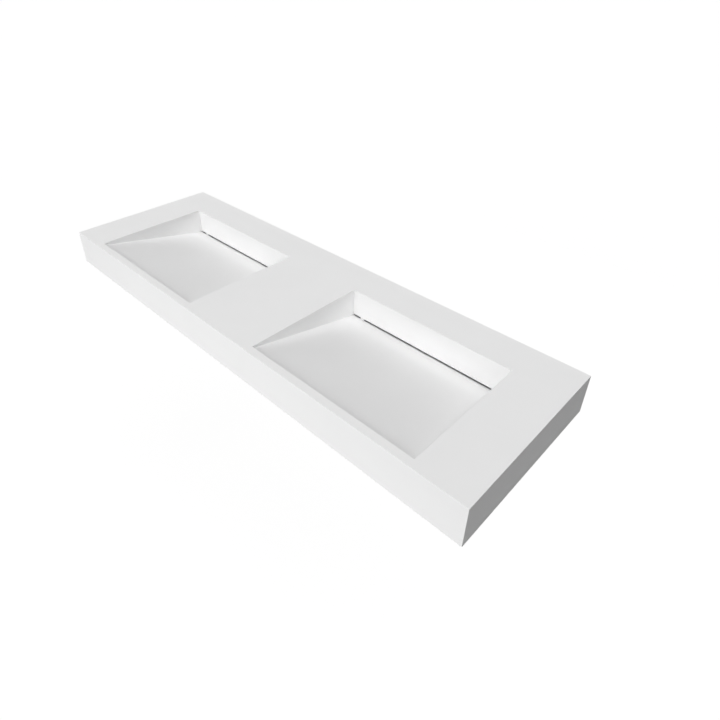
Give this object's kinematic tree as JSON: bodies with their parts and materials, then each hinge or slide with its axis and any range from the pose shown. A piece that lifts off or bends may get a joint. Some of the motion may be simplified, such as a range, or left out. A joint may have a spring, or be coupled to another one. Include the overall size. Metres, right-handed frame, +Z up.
{
  "type": "double washbasin",
  "caption": "Wall-hung double washbasin in white solid-surface board, with wide shallow bowls whose floors slope to a slot under a tip-out rear wall that hides the drain.",
  "frame": {"origin": "on the wall face, at mid-length and mid-height of the box, between the centre wall bolts", "axes": "+X to the right along the wall as seen from the room, +Y into the wall, +Z up"},
  "size_m": [1.4, 0.45, 0.149],
  "materials": {
    "white_solid_surface": "satin",
    "white_nylon": "matte",
    "chrome": "polished",
    "stainless": "satin",
    "black_rubber": "matte",
    "brass": "satin",
    "plywood": "matte",
    "galvanised_steel": "satin"
  },
  "bodies": {
    "basin": {"left_waste_body": "chrome", "left_waste_grid": "stainless", "left_waste_grid_screw": "stainless", "left_waste_upper_seal": "black_rubber", "left_waste_lower_seal": "black_rubber", "left_waste_washer": "white_nylon", "left_waste_nut": "brass", "right_waste_body": "chrome", "right_waste_grid": "stainless", "right_waste_grid_screw": "stainless", "right_waste_upper_seal": "black_rubber", "right_waste_lower_seal": "black_rubber", "right_waste_washer": "white_nylon", "right_waste_nut": "brass", "left_bracket_pad": "plywood", "left_wall_bracket": "galvanised_steel", "centre_bracket_pad": "plywood", "centre_wall_bracket": "galvanised_steel", "right_bracket_pad": "plywood", "right_wall_bracket": "galvanised_steel", "bracket_screws": "stainless", "bracket_inserts": "brass", "deck": "white_solid_surface", "front_apron": "white_solid_surface", "left_end_apron": "white_solid_surface", "right_end_apron": "white_solid_surface", "rear_panel": "white_solid_surface", "front_corner_strip": "white_solid_surface", "left_corner_strip": "white_solid_surface", "right_corner_strip": "white_solid_surface", "left_bowl_outer_wall": "white_solid_surface", "left_bowl_inner_wall": "white_solid_surface", "left_ramp": "white_solid_surface", "left_trough_floor": "white_solid_surface", "right_bowl_outer_wall": "white_solid_surface", "right_bowl_inner_wall": "white_solid_surface", "right_ramp": "white_solid_surface", "right_trough_floor": "white_solid_surface"},
    "left_cover": {"left_drain_cover": "white_solid_surface", "left_cover_feet": "white_nylon"},
    "right_cover": {"right_drain_cover": "white_solid_surface", "right_cover_feet": "white_nylon"}
  },
  "joints": [
    {"name": "left_cover_tilt", "type": "hinge", "parent": "basin", "child": "left_cover", "pos_m": [-0.35, -0.1, -0.0275], "axis": [1, 0, 0], "range_deg": [0, 72]},
    {"name": "right_cover_tilt", "type": "hinge", "parent": "basin", "child": "right_cover", "pos_m": [0.35, -0.1, -0.0275], "axis": [1, 0, 0], "range_deg": [0, 72]}
  ]
}
